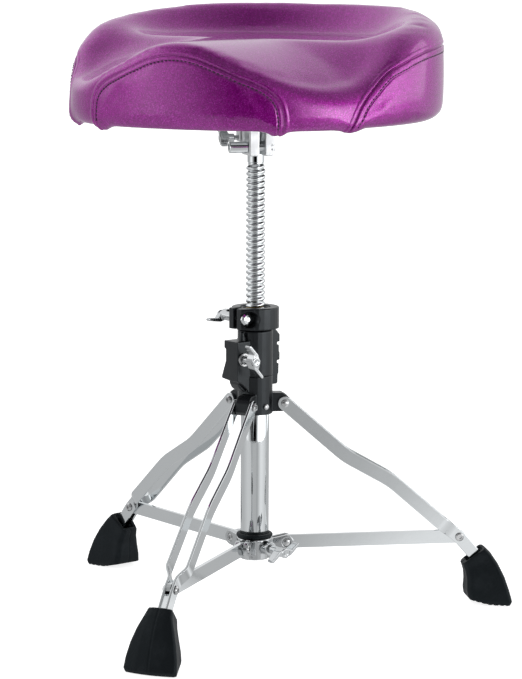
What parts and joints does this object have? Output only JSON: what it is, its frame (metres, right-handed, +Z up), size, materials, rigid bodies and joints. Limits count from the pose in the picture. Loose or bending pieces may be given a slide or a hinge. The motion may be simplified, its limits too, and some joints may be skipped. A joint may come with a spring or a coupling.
{
  "type": "drum throne",
  "caption": "Round saddle seat on a threaded height post with clamp collars, over a folding tripod of double-bar legs with flat stays and big rubber feet.",
  "frame": {"origin": "bottom centre of the whole object's bounding box, on the floor; the throne's vertical axis stands 47.0 mm behind it on +Y", "axes": "+Z up, -Y the way the seat's horn and the front leg point, +X the sitter's left, seen from the front as the right"},
  "size_m": [0.5324, 0.4956, 0.6721],
  "materials": {
    "vinyl": "gloss",
    "board": "matte",
    "cloth": "matte",
    "chrome": "polished",
    "steel": "satin",
    "zinc": "satin",
    "black_metal": "satin",
    "nylon": "matte",
    "brass": "satin",
    "rubber": "matte"
  },
  "bodies": {
    "base": {"base_tube": "chrome", "leg_hub": "black_metal", "hub_screw_back": "steel", "hub_screw_left": "steel", "hub_screw_right": "steel", "clamp_body": "black_metal", "height_nut": "brass", "clamp_washer": "steel", "lock_collar": "black_metal", "collar_bolt": "chrome", "front_leg_pivot_bolt": "steel", "right_leg_pivot_bolt": "steel", "left_leg_pivot_bolt": "steel"},
    "collar_wing": {"collar_wing_nut": "chrome"},
    "clamp_wing": {"clamp_wing_bolt": "chrome"},
    "spider": {"spider": "chrome", "spider_bush": "rubber", "front_stay_bolt": "steel", "right_stay_bolt": "steel", "left_stay_bolt": "steel"},
    "spider_wing": {"spider_wing_bolt": "chrome"},
    "rod_guide": {"rod_guide": "nylon"},
    "rod": {"height_rod": "chrome"},
    "seat": {"seat_board": "board", "seat_bolt_1": "steel", "seat_bolt_2": "steel", "seat_bolt_3": "steel", "seat_bolt_4": "steel", "seat_bracket": "zinc", "seat_clamp_bolt": "chrome", "seat_clamp_nut": "zinc", "seat_cushion": "vinyl", "seat_dust_cover": "cloth", "seat_tee_nut_1": "brass", "seat_tee_nut_2": "brass", "seat_tee_nut_3": "brass", "seat_tee_nut_4": "brass"},
    "seat_wing": {"seat_wing_bolt": "chrome"},
    "front_leg": {"front_leg_bar_right": "chrome", "front_leg_bar_left": "chrome", "front_foot": "rubber", "front_stay_rivet_right": "steel", "front_stay_rivet_left": "steel"},
    "front_stay": {"front_stay": "chrome"},
    "right_leg": {"right_leg_bar_right": "chrome", "right_leg_bar_left": "chrome", "right_foot": "rubber", "right_stay_rivet_right": "steel", "right_stay_rivet_left": "steel"},
    "right_stay": {"right_stay": "chrome"},
    "left_leg": {"left_leg_bar_right": "chrome", "left_leg_bar_left": "chrome", "left_foot": "rubber", "left_stay_rivet_right": "steel", "left_stay_rivet_left": "steel"},
    "left_stay": {"left_stay": "chrome"}
  },
  "joints": [
    {"name": "leg_fold", "type": "hinge", "parent": "base", "child": "front_leg", "pos_m": [0, 0.015, 0.2358], "axis": [1, 0, 0], "range_deg": [0, 44.3]},
    {"name": "right_leg_fold", "type": "hinge", "parent": "base", "child": "right_leg", "pos_m": [0.02771, 0.063, 0.2358], "axis": [-0.5, 0.866, 0], "range_deg": [0, 44.4]},
    {"name": "left_leg_fold", "type": "hinge", "parent": "base", "child": "left_leg", "pos_m": [-0.02771, 0.063, 0.2358], "axis": [-0.5, -0.866, 0], "range_deg": [0, 44.4]},
    {"name": "spider_slide", "type": "slide", "parent": "base", "child": "spider", "axis": [0, 0, 1], "range_m": [0, 0.10085]},
    {"name": "front_stay_swing", "type": "hinge", "parent": "spider", "child": "front_stay", "pos_m": [0, 0.0117, 0.0767], "axis": [1, 0, 0], "range_deg": [0, 81.47]},
    {"name": "right_stay_swing", "type": "hinge", "parent": "spider", "child": "right_stay", "pos_m": [0.03057, 0.06465, 0.0767], "axis": [-0.5, 0.866, 0], "range_deg": [0, 81.47]},
    {"name": "left_stay_swing", "type": "hinge", "parent": "spider", "child": "left_stay", "pos_m": [-0.03057, 0.06465, 0.0767], "axis": [-0.5, -0.866, 0], "range_deg": [0, 81.47]},
    {"name": "height_slide", "type": "slide", "parent": "base", "child": "rod_guide", "axis": [0, 0, 1], "range_m": [-0.13897, 0.03408]},
    {"name": "seat_turn", "type": "hinge", "parent": "rod_guide", "child": "rod", "pos_m": [0, 0.047, 0.3], "axis": [0, 0, 1], "range_deg": [-7800, 1900]},
    {"name": "seat_lift", "type": "slide", "parent": "rod", "child": "seat", "axis": [0, 0, 1], "range_m": [0, 0.05]},
    {"name": "clamp_wing_turn", "type": "hinge", "parent": "base", "child": "clamp_wing", "pos_m": [-0.00159, 0.01905, 0.2875], "axis": [0.866, -0.5, 0], "continuous": true},
    {"name": "collar_wing_turn", "type": "hinge", "parent": "base", "child": "collar_wing", "pos_m": [-0.02056, 0.03439, 0.332], "axis": [-0.866, 0.5, 0], "continuous": true},
    {"name": "spider_wing_turn", "type": "hinge", "parent": "spider", "child": "spider_wing", "pos_m": [0.02624, 0.03185, 0.074], "axis": [0.866, -0.5, 0], "continuous": true},
    {"name": "seat_wing_turn", "type": "hinge", "parent": "seat", "child": "seat_wing", "pos_m": [-0.02233, 0.03783, 0.5302], "axis": [-0.8141, -0.5807, 0], "continuous": true}
  ],
  "couplings": [
    {"joint": "right_leg_fold", "follows": "leg_fold", "ratio": 1},
    {"joint": "left_leg_fold", "follows": "leg_fold", "ratio": 1},
    {"joint": "spider_slide", "follows": "leg_fold", "m_per_rad": 0.13005},
    {"joint": "front_stay_swing", "follows": "leg_fold", "ratio": 1.8346},
    {"joint": "right_stay_swing", "follows": "leg_fold", "ratio": 1.8346},
    {"joint": "left_stay_swing", "follows": "leg_fold", "ratio": 1.8346},
    {"joint": "height_slide", "follows": "seat_turn", "m_per_rad": 0.0010186}
  ]
}
